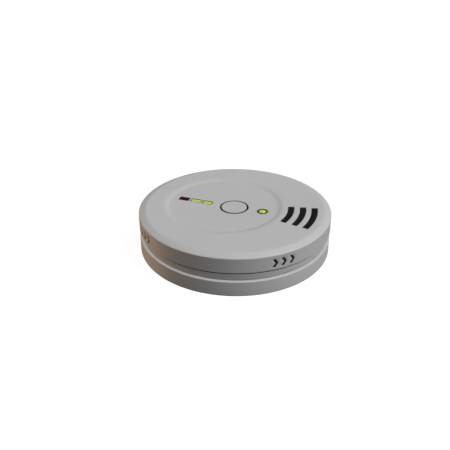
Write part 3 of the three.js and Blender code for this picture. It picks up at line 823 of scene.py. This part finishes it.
def cover_band(made):
    """The wall's upright band, a quarter at a time, with the arrows pressed into it."""
    loop, columns, heights = band_loop()
    arrows = [arrow_outline(angle) for angle in arrow_angles()]
    holes = [offset(arrow, ARROW_LIP) for arrow in arrows]
    reach = [p.x for hole in holes for p in hole]
    free = []
    for x in columns[1:-1]:
        if not min(reach) - 0.3 < x < max(reach) + 0.3:
            free += [Vector((x, z)) for z in heights[1:-1]]
    for i in range(QUARTERS):
        turn = i * pi / 2
        made.sheet(loop, holes, wrapped(COVER_RADIUS, turn), free)
        for arrow in arrows:
            levels = [(d, COVER_RADIUS - drop) for d, drop in lip_levels(ARROW_LIP, 2)]
            levels.append((0, COVER_RADIUS - ARROW_DEPTH))
            made.rows([
                [wrapped(radius, turn)(p) for p in offset(arrow, d)] for d, radius in levels
            ])
            made.sheet(loop_of(arrow), [], wrapped(COVER_RADIUS - ARROW_DEPTH, turn))


def cover_shell():
    made = Patchwork()
    cover_top(made)
    cover_underside(made)
    cover_rim(made)
    cover_band(made)
    piece("cover_shell", made, "head", "shell_plastic", "front_cover", look="cover_plastic")


def arrow_ink():
    """Black paint that nearly fills the arrows."""
    made = Patchwork()
    outer = COVER_RADIUS - INK_SUNK
    inner = COVER_RADIUS - ARROW_DEPTH + INK_GAP
    for i in range(QUARTERS):
        place_in, place_out = wrapped(inner, i * pi / 2), wrapped(outer, i * pi / 2)
        for angle in arrow_angles():
            edge = offset(arrow_outline(angle), -INK_GAP)
            made.rows([[place_in(p) for p in edge], [place_out(p) for p in edge]])
            made.sheet(edge, [], place_in)
            made.sheet(edge, [], place_out)
    piece("arrow_ink", made, "head", "black_plastic", look="arrow_ink")


cover_shell()
arrow_ink()

# ---- Rear housing ----

HOUSING_BACK = 2.3
HOUSING_FLOOR = 4.3
HOUSING_BORE = 55.6
WAIST_RADIUS = 57.6  # inside the base's wall, below the neck
SHELF = 9.25  # height of the neck's foot, which stands inside the base's rim
SHELF_RADIUS = 60.4
NECK_RADIUS = 61.2
NECK_TOP = 14.9
COLLAR_RADIUS = 60.3  # of the collar that stands up inside the cover
COLLAR_BORE = 58.6
COLLAR_FLOOR = 12.4
COLLAR_TOP = 19
BAY_X = (-41.5, -10)
BAY_HALF_LENGTH = 28.5
BAY_WALL = 1.5
BAY_ROOF = 17.4  # its underside
BAY_LID = 18.6  # its upper side
BAY_EDGE = 0.4  # rounding of the bay's mouth
LID_EDGE = 0.3
BOSS_TOP = 12
BOSS_RADIUS = 4.2
HEAD_RECESS = 3.1  # radius of the recess for a screw's head
HEAD_SEAT = 5.2  # height of that recess's end
POST_TOP = 18.7
POST_RADIUS = 3
POST_BORE = 1.4
POST_BORE_END = 12.7
POST_PLACES = [middle(f"board_screw_{i}").xy for i in range(1, 4)]
BAYONET_ANGLES = [radians(degrees) for degrees in (90, 210, 330)]
# radii of the black ring in the seam's groove, which stands for the groove's shade
SEAM_SHADE_RADII = (60.35, 61.9)
LUG_RADII = (57.3, 60.1)
LUG_BOTTOM = 4.6
LUG_HALF_ANGLE = radians(6.6)
LEDGE_BOTTOM = 6.95

NECK_PROFILE = fillet(
    [(WAIST_RADIUS - 0.4, HOUSING_BACK), (WAIST_RADIUS, HOUSING_BACK + 0.4), (WAIST_RADIUS, SHELF),
     (SHELF_RADIUS, SHELF), (SHELF_RADIUS, BASE_TOP + GAP), (NECK_RADIUS - 0.2, BASE_TOP + 2 * GAP),
     (NECK_RADIUS, NECK_TOP), (COLLAR_RADIUS, NECK_TOP), (COLLAR_RADIUS, COLLAR_TOP),
     (COLLAR_BORE, COLLAR_TOP), (COLLAR_BORE, COLLAR_FLOOR), (HOUSING_BORE, COLLAR_FLOOR),
     (HOUSING_BORE, HOUSING_FLOOR)],
    [0.15, 0.3, 0.1, 0.1, 0.3, 0.1, 0.2, 0.3, 0.3, 0.3, 0.5],
)
BOSS_PROFILE = [
    (BOSS_RADIUS, HOUSING_FLOOR), (BOSS_RADIUS, BOSS_TOP - 0.2), (BOSS_RADIUS - 0.2, BOSS_TOP),
    (SCREW_BORE + 0.15, BOSS_TOP), (SCREW_BORE, BOSS_TOP - 0.15), (SCREW_BORE, HEAD_SEAT),
    (HEAD_RECESS - 0.2, HEAD_SEAT), (HEAD_RECESS, HEAD_SEAT - 0.2), (HEAD_RECESS, HOUSING_BACK),
]
POST_PROFILE = [
    (POST_RADIUS, HOUSING_FLOOR), (POST_RADIUS, POST_TOP - 0.2), (POST_RADIUS - 0.2, POST_TOP),
    (POST_BORE + 0.1, POST_TOP), (POST_BORE, POST_TOP - 0.1), (POST_BORE, POST_BORE_END),
    (0, POST_BORE_END),
]


def bay_outline(grow, corner):
    left, right = BAY_X
    outline = rounded_box((right - left) / 2 + grow, BAY_HALF_LENGTH + grow, corner, 3)
    return moved(outline, (left + right) / 2)


def curved_block(made, inner, outer, angle, half_angle, bottom, top):
    """A bayonet lug, ledge or stop: a short piece of ring centred on an angle."""
    outline = moved(arc_slot(inner, outer, half_angle, 0.3, 24, 3), turn=angle)
    made.prism(outline, bottom, top)


def housing_shell():
    """The neck and collar, the battery bay, the bosses and posts, and the bayonet lugs."""
    made = Patchwork()
    back = round_loop(NECK_PROFILE[0][0])
    floor = round_loop(HOUSING_BORE)
    inside_bay, outside_bay = bay_outline(0, 1), bay_outline(BAY_WALL, 2)
    back_holes = [offset(inside_bay, BAY_EDGE)]
    back_holes += [round_loop(HEAD_RECESS, SMALL, place) for place in PILLAR_PLACES]
    floor_holes = [loop_of(outside_bay)]
    floor_holes += [round_loop(BOSS_RADIUS, SMALL, place) for place in PILLAR_PLACES]
    floor_holes += [round_loop(POST_RADIUS, SMALL, place) for place in POST_PLACES]
    made.sheet(back, back_holes, level(HOUSING_BACK))
    made.sheet(floor, floor_holes, level(HOUSING_FLOOR))
    made.revolve(NECK_PROFILE, ROUND)
    mouth = [(d, HOUSING_BACK + drop) for d, drop in lip_levels(BAY_EDGE)]
    made.walls(inside_bay, [*mouth, (0, BAY_ROOF)])
    made.sheet(loop_of(inside_bay), [], level(BAY_ROOF))
    made.walls(outside_bay, [(0, HOUSING_FLOOR), *top_edge(BAY_LID, LID_EDGE)])
    made.sheet(offset(outside_bay, -LID_EDGE), [], level(BAY_LID))
    for place in PILLAR_PLACES:
        made.revolve(BOSS_PROFILE, SMALL, place)
    for place in POST_PLACES:
        made.revolve(POST_PROFILE, SMALL, place)
    for angle in BAYONET_ANGLES:
        curved_block(made, *LUG_RADII, angle, LUG_HALF_ANGLE, LUG_BOTTOM, LEDGE_BOTTOM - GAP)
    piece("housing_shell", made, "head", "shell_plastic", "rear_housing")


def gap_shade_ring(name, inner, outer, low, high, segments, x=0):
    """A plain black ring on the head, put in a gap to stand for the gap's shade."""
    made = Patchwork()
    section = [(inner, low), (outer, low), (outer, high), (inner, high), (inner, low)]
    made.revolve(section, segments, (x, 0))
    piece(name, made, "head", "black_plastic")


housing_shell()
# A black ring that lies back in the groove between the neck and the cover, where it stands for the groove's
# shade.
gap_shade_ring("seam_shade_ring", *SEAM_SHADE_RADII, NECK_TOP + 0.2, COVER_BOTTOM - 0.05, ROUND)

# ---- Mounting base ----

BASE_PLATE = 2  # height of the plate's inner face
BASE_BORE = 60.7
BASE_FOOT = 62.6  # radius of the flat back
BASE_RIM = 62.85  # outer radius at the top
KEYHOLE_X = 32
KEYHOLE_RADIUS = 4.2
KEYHOLE_RUN = 7
SCREW_SLOT = 1.9  # half the width of every slot for a screw's shank
CURVED_SLOT_HALF_ANGLE = radians(12)
PLATE_EDGE = 0.2  # rounding of the openings in the plate
LEDGE_TOP = 8.95
LEDGE_RADII = (57.95, BASE_BORE + 0.3)  # the ledges run a little into the wall that carries them
LEDGE_HALF_ANGLE = radians(8.5)
STOP_HALF_ANGLE = radians(0.75)

BASE_PROFILE = fillet(
    [(BASE_FOOT, 0), (BASE_RADIUS, 0.5), (BASE_RIM, BASE_TOP), (BASE_BORE, BASE_TOP),
     (BASE_BORE, BASE_PLATE)],
    [0.3, 0.65, 0.2],
    7,
)


def base_openings():
    """The outlines of the two keyholes and the two curved slots."""
    key = keyhole(KEYHOLE_RADIUS, SCREW_SLOT, KEYHOLE_RUN)
    inner, outer = KEYHOLE_X - SCREW_SLOT, KEYHOLE_X + SCREW_SLOT
    curved = arc_slot(inner, outer, CURVED_SLOT_HALF_ANGLE, 0.5, 24)
    openings = [moved(key, x) for x in (-KEYHOLE_X, KEYHOLE_X)]
    return openings + [moved(curved, turn=turn) for turn in (pi / 2, -pi / 2)]


def base_shell():
    """The plate, the wall with its rim, and the bayonet's ledges and their stops."""
    made = Patchwork()
    openings = base_openings()
    holes = [offset(outline, PLATE_EDGE) for outline in openings]
    made.sheet(round_loop(BASE_FOOT), holes, level(0))
    made.sheet(round_loop(BASE_BORE), holes, level(BASE_PLATE))
    for outline in openings:
        made.hole(outline, 0, BASE_PLATE, PLATE_EDGE)
    made.revolve(BASE_PROFILE, ROUND)
    for angle in BAYONET_ANGLES:
        curved_block(made, *LEDGE_RADII, angle, LEDGE_HALF_ANGLE, LEDGE_BOTTOM, LEDGE_TOP)
        stop = angle - LEDGE_HALF_ANGLE + STOP_HALF_ANGLE
        curved_block(made, *LEDGE_RADII, stop, STOP_HALF_ANGLE, LUG_BOTTOM, LEDGE_BOTTOM + 0.2)
    piece("base_shell", made, "base", "base_plastic", "mounting_base")


base_shell()

# ---- Test button ----

BUTTON_RADIUS = 8.3
BUTTON_BORE = 7  # inside radius of the skirt
BUTTON_FACE = 1.6  # thickness of the cap's face
BUTTON_FLANGE = 1  # height of the flange round the skirt's foot
STEM_RADIUS = 1.8
CROWN_START = BUTTON_RADIUS - 1.2  # radius inside which the face sinks
CROWN = 0.12  # how far it sinks towards the middle
CROWN_RINGS = 8
# the black ring in the button's gap, which stands for the gap's shade
BUTTON_GAP_SHADE_RADII = (8.4, BUTTON_HOLE - 0.05)
BUTTON_GAP_SHADE_BOTTOM = 24.6


def button_cap():
    """A cap with a flange that holds it behind the cover, and a stem over the switch."""
    made = Patchwork()
    top, bottom = BUTTON_HIGH.z, BUTTON_LOW.z
    flange, face = bottom + BUTTON_FLANGE, top - BUTTON_FACE
    brim = BUTTON_HIGH.x - BUTTON_X
    section = [
        (0, flange), (STEM_RADIUS, flange), (STEM_RADIUS, face), (BUTTON_BORE, face),
        (BUTTON_BORE, bottom), (brim, bottom), (brim, flange), (BUTTON_RADIUS, flange),
        (BUTTON_RADIUS, top), (CROWN_START, top),
    ]
    profile = fillet(section, [0.2, 0.2, 0.3, 0.2, 0.2, 0.2, 0.1, 0.2])
    for i in range(1, CROWN_RINGS + 1):
        share = i / CROWN_RINGS
        profile.append((CROWN_START * (1 - share), top - CROWN * smoothstep(share)))
    made.revolve(profile, COIN, (BUTTON_X, 0))
    piece("button_cap", made, "button", "button_plastic", "test_button")


button_cap()
# A black ring that fills the gap between the cover's hole and the button, where it stands for the gap's
# shade
gap_shade_ring("button_gap_shade", *BUTTON_GAP_SHADE_RADII, BUTTON_GAP_SHADE_BOTTOM, BUTTON_HIGH.z - 0.3, COIN, BUTTON_X)

# ---- Indicators ----

LENS_FLANGE = (22.9, 23.9)  # bottom and top
LENS_GAP = 0.5  # between a lens and its window
RING_RADIUS = 3.4
RING_BORE = 2.7
DOME_RADIUS = 2.4
DOME_RISE = 0.8
DOME_STEP = 0.2  # how far the step round its foot stands out


def lens(name, slot):
    """A lens bar with rounded edges, standing on the flange that holds it behind the cover."""
    made = Patchwork()
    low, high = box_mm("lens_" + name)
    x = WINDOW_X[name]
    bar = moved(rounded_box(WINDOW_LENGTH / 2 - LENS_GAP, WINDOW_WIDTH / 2 - LENS_GAP, 0.3), x)
    flange = moved(rounded_box((high.x - low.x) / 2, (high.y - low.y) / 2, 0.4), x)
    made.prism(bar, LENS_FLANGE[1] - 0.2, high.z, lip=0.12)
    made.prism(flange, *LENS_FLANGE, lip=0.1)
    piece(f"{name}_window", made, "head", slot, "lens_" + name)


def status_ring():
    """The bezel round the status light, with the flange that holds it behind the cover."""
    made = Patchwork()
    low, high = box_mm("status_bezel")
    flange = high.x - STATUS_X
    start = (RING_BORE + 0.3, low.z)  # on the underside, where the section closes
    profile = fillet(
        [start, (flange, low.z), (flange, LENS_FLANGE[1]), (RING_RADIUS, LENS_FLANGE[1]),
         (RING_RADIUS, high.z), (RING_BORE, high.z), (RING_BORE, low.z), start],
        [0.1, 0.1, 0.05, 0.1, 0.1, 0.05],
    )
    made.revolve(profile, COIN, (STATUS_X, 0))
    piece("status_ring", made, "head", "olive_bezel", "status_bezel")


def status_dome():
    """The status light: a moulded lens with a domed end and a step round its foot."""
    made = Patchwork()
    low, high = box_mm("status_led")
    step, chamfered = DOME_RADIUS + DOME_STEP, DOME_RADIUS + DOME_STEP / 2
    profile = [(0, low.z), (chamfered, low.z), (step, low.z + 0.1),
               (step, low.z + 0.9), (chamfered, low.z + 1), (DOME_RADIUS, low.z + 1)]
    for angle in quarter(12):
        profile.append((DOME_RADIUS * cos(angle), high.z - DOME_RISE * (1 - sin(angle))))
    made.revolve(profile, COIN, (STATUS_X, 0))
    piece("status_dome", made, "head", "green_lens", "status_led", look="status_light")


for name in WINDOWS:
    lens(name, "red_lens" if name == "alarm" else "green_lens")
status_ring()
status_dome()

# ---- Sounder grille ----

GRILLE_RADII = (33.2, 56.5)
GRILLE_HALF_ANGLE = radians(22)
PAD_LIP = 0.15
PAD_ROOT = 0.2  # how far a pad runs down into the plate
MESH_PITCH = 1.15
MESH_HOLE = 0.36  # radius
MESH_DEPTH = 0.6


def mesh_holes(inner, half_angle):
    """Two rows of small holes along one pad."""
    found = []
    for row in range(2):
        radius = inner + SLOT_WIDTH / 2 + (row - 0.5) * MESH_PITCH
        half = int((half_angle * radius - 1.1) / MESH_PITCH)
        for i in range(-half, half + 1):
            angle = (i + row / 2 - 0.25) * MESH_PITCH / radius
            found.append(circle(MESH_HOLE, 12, polar(radius, angle)))
    return found


def grille_insert():
    """A plate behind the cover, with a pad of small holes standing up in each slot."""
    made = Patchwork()
    low, high = box_mm("sounder_grille")
    plate_top = CEILING - GAP
    pad_foot = plate_top - PAD_ROOT
    made.prism(arc_slot(*GRILLE_RADII, GRILLE_HALF_ANGLE, 1.5), low.z, plate_top, lip=0.12)
    for slot in SLOTS:
        pad = slot_outline(*slot, grow=-GAP, corner=0.4)
        made.walls(pad, [(0, pad_foot), *top_edge(high.z, PAD_LIP)])
        holes = mesh_holes(*slot)
        made.sheet(offset(pad, -PAD_LIP), [loop_of(hole) for hole in holes], level(high.z))
        made.sheet(loop_of(pad), [], level(pad_foot))
        for hole in holes:
            made.walls(hole, [(0, high.z), (0, high.z - MESH_DEPTH)])
            made.sheet(loop_of(hole), [], level(high.z - MESH_DEPTH))
    piece("grille_insert", made, "head", "black_plastic", "sounder_grille")


grille_insert()

# ---- CAD nodes that stay ----

SOFT_EDGE = 0.1  # width of the bevel on their sharp edges
SOFT_EDGE_ANGLE = radians(40)
CREASE_ANGLE = radians(38)


def finish_nodes():
    """Gives each shown CAD node its material, small bevels, and smooth shading between creases."""
    slots = {part["node"]: part["material_slot"] for part in frame["record"]["subparts"]}
    for name, obj in frame["nodes"].items():
        if obj.hide_render:
            continue
        mesh = obj.data
        if "custom_normal" in mesh.attributes:
            mesh.attributes.remove(mesh.attributes["custom_normal"])
        mesh.shade_smooth()
        mesh.materials.clear()
        mesh.materials.append(LOOKS[slots[name]])
        weld = obj.modifiers.new("weld", "WELD")
        weld.merge_threshold = 1e-6
        bevel = obj.modifiers.new("bevel", "BEVEL")
        bevel.width = SOFT_EDGE * MM
        bevel.segments = 2
        bevel.limit_method = "ANGLE"
        bevel.angle_limit = SOFT_EDGE_ANGLE
        bevel.use_clamp_overlap = True
        split = obj.modifiers.new("split", "EDGE_SPLIT")
        split.split_angle = CREASE_ANGLE


def compress_spring():
    """Gives the button's return spring its own copy of its mesh."""
    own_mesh(frame["nodes"]["button_spring"])


finish_nodes()
compress_spring()

# ---- Floor and light ----

FLOOR_HALF_SIZE = 3
FLOOR_DROP = 0.05 * MM  # the floor is this far below the alarm's back
WALL_RADIUS = 2.9
WALL_FOOT = -0.01
WALL_TOP = 4
WALL_SEGMENTS = 64
KEY = (0.56, -0.01, 0.83)
KEY_WIDTH = radians(22)
KEY_COLOUR = (0.98, 0.99, 1)


def table_paint(name, glow):
    """White translucent acrylic lit from behind, as on a studio light table."""
    n = Nodes(name)
    tone = n.mix(n.spread(n.noise(3, 2), 0, 1), (0.60, 0.60, 0.60), (0.62, 0.62, 0.62))
    n.shader.inputs["Emission Color"].default_value = (1, 1, 1, 1)
    n.shader.inputs["Emission Strength"].default_value = glow
    return n.done(tone, n.spread(n.noise(20, 2), 0.85, 0.95), specular=0.1)


def stage_set(name, points, faces, look):
    """Part of the set. It lights nothing itself, so the alarm's walls keep their contrast."""
    mesh = bpy.data.meshes.new(name)
    mesh.from_pydata(points, [], faces)
    mesh.materials.append(look)
    obj = bpy.data.objects.new(name, mesh)
    obj.visible_diffuse = False
    obj.visible_glossy = False
    bpy.context.scene.collection.objects.link(obj)
    return obj


def floor():
    """A plain pale table top."""
    size, z = FLOOR_HALF_SIZE, -FLOOR_DROP
    corners = [(-size, -size, z), (size, -size, z), (size, size, z), (-size, size, z)]
    stage_set("floor", corners, [(0, 1, 2, 3)], table_paint("floor_paint", 0.45))


def backdrop():
    """A wall all round, which a low view sees over the alarm."""
    count = WALL_SEGMENTS
    points = []
    for z in (WALL_FOOT, WALL_TOP):
        points += [(*p, z) for p in round_loop(WALL_RADIUS, count)]
    faces = [(i, (i + 1) % count, (i + 1) % count + count, i + count) for i in range(count)]
    wall = stage_set("backdrop", points, faces, table_paint("backdrop_paint", 1))
    wall.visible_shadow = False


def sun(name, direction, strength, width, colour, shadow=True):
    """A far, wide, even light, shining from a direction."""
    data = bpy.data.lights.new(name, "SUN")
    data.energy = strength
    data.angle = width
    data.color = colour
    data.use_shadow = shadow
    light = bpy.data.objects.new(name, data)
    light.rotation_euler = Vector(direction).to_track_quat("Z", "Y").to_euler()
    bpy.context.scene.collection.objects.link(light)


def room_light(warm, cool, strength):
    """A dim surround, warmer on the left than on the right."""
    n = Nodes("surround", "worlds", "Background", "Generated")
    axes = n.add("ShaderNodeSeparateXYZ")
    n.link(n.coordinates, axes.inputs["Vector"])
    share = n.spread(axes.outputs["X"], 0, 1, -1, 1)
    n.link(n.mix(share, warm, cool), n.shader.inputs["Color"])
    n.shader.inputs["Strength"].default_value = strength
    bpy.context.scene.world = n.owner


floor()
backdrop()
# Most of the key light comes without shadows, so that the cover doesn't darken the neck below it.
sun("key", KEY, 0.4, KEY_WIDTH, KEY_COLOUR)
sun("wrap", KEY, 2.75, KEY_WIDTH, KEY_COLOUR, shadow=False)
# A warm light from the lower left
sun("bounce", (-0.98, 0.05, -0.2), 1.3, radians(50), (1, 0.62, 0.36), shadow=False)
room_light((0.42, 0.37, 0.32), (1, 1, 1.02), 0.26)
bpy.context.scene.view_settings.view_transform = "Standard"
